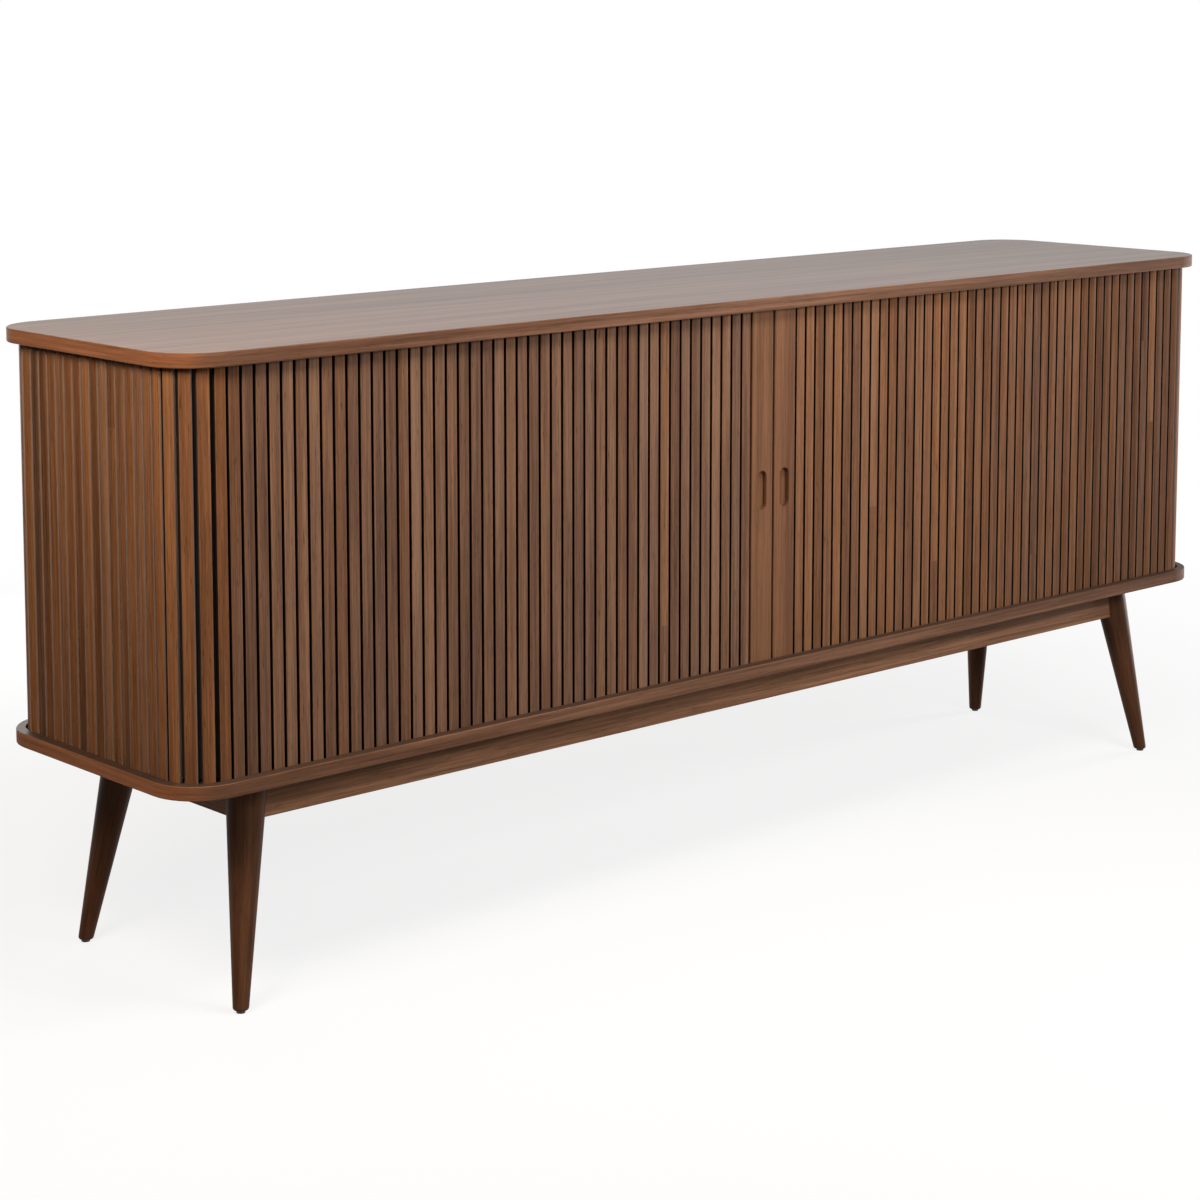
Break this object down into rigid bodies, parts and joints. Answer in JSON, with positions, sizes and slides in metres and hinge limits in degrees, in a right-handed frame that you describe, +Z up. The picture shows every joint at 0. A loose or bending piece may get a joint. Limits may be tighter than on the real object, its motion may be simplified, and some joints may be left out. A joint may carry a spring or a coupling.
{
  "type": "tambour sideboard",
  "caption": "Long low sideboard with rounded ends, sliding slatted tambour doors with finger recesses, an inner shelf either side of a divider, and a railed base on splayed tapered legs.",
  "frame": {"origin": "on the floor under the middle of the sideboard", "axes": "+Z up, +X along the length towards the right-hand door, front with the doors towards -Y"},
  "size_m": [1.966, 0.426, 0.805],
  "materials": {
    "walnut_board": "satin walnut veneer, grain lengthwise",
    "walnut_slat": "satin oiled walnut, grain upright",
    "walnut_stile": "satin oiled walnut, grain upright",
    "walnut_leg": "satin stained walnut",
    "walnut_rail": "satin stained walnut, grain lengthwise",
    "walnut_interior": "matt walnut veneer",
    "walnut_back": "matt walnut veneer on thin board",
    "black_canvas": "black woven canvas",
    "beech_dowel": "raw turned beech",
    "zinc_steel": "zinc plated",
    "rubber_stop": "matt black rubber",
    "glide_plastic": "matt black nylon"
  },
  "bodies": {
    "carcass": {"back_panel": "walnut_back", "base_screws": "zinc_steel", "bottom_board": "walnut_board", "carcass_dowels": "beech_dowel", "center_divider": "walnut_interior", "door_stops": "rubber_stop", "foot_glides": "glide_plastic", "front_left_corner_block": "walnut_leg", "front_left_leg": "walnut_leg", "front_rail": "walnut_rail", "front_right_corner_block": "walnut_leg", "front_right_leg": "walnut_leg", "inner_back_panel": "walnut_interior", "inner_back_screws": "zinc_steel", "left_corner_slats": "walnut_slat", "left_end_panel": "walnut_interior", "left_rail": "walnut_rail", "left_rear_slats": "walnut_slat", "left_shelf": "walnut_interior", "left_side_slats": "walnut_slat", "left_tail_canvas": "black_canvas", "leg_bolts": "zinc_steel", "leg_nuts": "zinc_steel", "leg_washers": "zinc_steel", "rail_dowels": "beech_dowel", "rear_left_corner_block": "walnut_leg", "rear_left_leg": "walnut_leg", "rear_rail": "walnut_rail", "rear_right_corner_block": "walnut_leg", "rear_right_leg": "walnut_leg", "right_corner_slats": "walnut_slat", "right_end_panel": "walnut_interior", "right_rail": "walnut_rail", "right_rear_slats": "walnut_slat", "right_shelf": "walnut_interior", "right_side_slats": "walnut_slat", "right_tail_canvas": "black_canvas", "shelf_pins": "zinc_steel", "top_board": "walnut_board"},
    "left_door": {"left_lead_stile": "walnut_stile", "left_canvas_batten": "walnut_stile", "left_batten_screws": "zinc_steel", "left_front_slats": "walnut_slat", "left_front_canvas": "black_canvas"},
    "right_door": {"right_lead_stile": "walnut_stile", "right_canvas_batten": "walnut_stile", "right_batten_screws": "zinc_steel", "right_front_slats": "walnut_slat", "right_front_canvas": "black_canvas"}
  },
  "joints": [
    {"name": "left_door_slide", "type": "slide", "parent": "carcass", "child": "left_door", "axis": [-1, 0, 0], "range_m": [0, 0.86175], "deforming": ["left_front_slats", "left_front_canvas"]},
    {"name": "right_door_slide", "type": "slide", "parent": "carcass", "child": "right_door", "axis": [1, 0, 0], "range_m": [0, 0.86175], "deforming": ["right_front_slats", "right_front_canvas"]}
  ]
}
